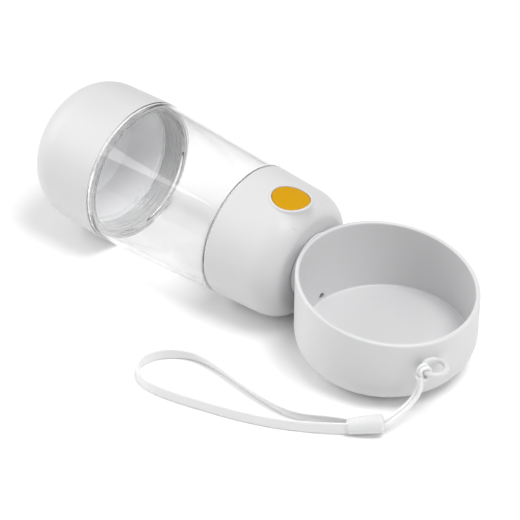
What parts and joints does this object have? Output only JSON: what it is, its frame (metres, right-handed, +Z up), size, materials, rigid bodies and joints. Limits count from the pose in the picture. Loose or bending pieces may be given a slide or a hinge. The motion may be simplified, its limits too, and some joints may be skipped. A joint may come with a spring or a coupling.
{
  "type": "dog travel water bottle",
  "caption": "Portable pet drinking bottle: clear tank with screw cap, push-button valve head and a swivelling round drinking bowl with a wrist strap.",
  "frame": {"origin": "centre of the bowl's flat foot, on the surface that the bottle lies on", "axes": "+X from the bottle towards the bowl, +Z up, so the bottle lies along X with its button on top"},
  "size_m": [0.2373, 0.1255, 0.0728],
  "materials": {
    "white_head": "satin",
    "white_cap": "satin",
    "amber_button": "matte",
    "clear_tank": "clear, glossy",
    "grey_bowl": "satin",
    "inner_plastic": "moulded",
    "soft_seal": "soft silicone",
    "spring_steel": "bright",
    "cord_fabric": "woven",
    "slider_plastic": "glossy"
  },
  "bodies": {
    "head": {"head_shell": "white_head", "head_gasket": "soft_seal", "valve_body": "inner_plastic", "valve_plug": "inner_plastic", "inlet_screen": "spring_steel", "body_screws": "spring_steel", "stem_o_ring": "soft_seal", "spring_washer": "spring_steel", "button_spring": "spring_steel"},
    "button": {"button_cap": "amber_button", "valve_stem": "inner_plastic", "valve_seal": "soft_seal"},
    "tank": {"tank": "clear_tank"},
    "cap": {"base_cap": "white_cap", "cap_liner": "inner_plastic", "cap_gasket": "soft_seal"},
    "bowl": {"bowl": "grey_bowl", "foot_cover": "grey_bowl", "duct_plug": "grey_bowl", "swivel_spigot": "inner_plastic", "spigot_o_ring": "soft_seal", "swivel_clip": "spring_steel", "lanyard_hitch": "cord_fabric", "lanyard_cord_upper": "cord_fabric", "lanyard_cord_lower": "cord_fabric", "lanyard_slider": "slider_plastic", "lanyard_strap": "cord_fabric"}
  },
  "joints": [
    {"name": "button_press", "type": "slide", "parent": "head", "child": "button", "axis": [-0.0578, 0.0593, -0.9966], "range_m": [0, 0.003], "stiffness_N_per_m": 600, "springref_m": -0.003, "deforming": ["button_spring"]},
    {"name": "bowl_swivel", "type": "hinge", "parent": "head", "child": "bowl", "pos_m": [-0.0414, 0, 0.03019], "axis": [-0.9983, 0, 0.0579], "range_deg": [0, 180]},
    {"name": "tank_unscrew", "type": "slide", "parent": "head", "child": "tank", "axis": [-0.9983, 0, 0.0579], "range_m": [0, 0.02]},
    {"name": "cap_unscrew", "type": "slide", "parent": "tank", "child": "cap", "axis": [-0.9983, 0, 0.0579], "range_m": [0, 0.03]}
  ]
}
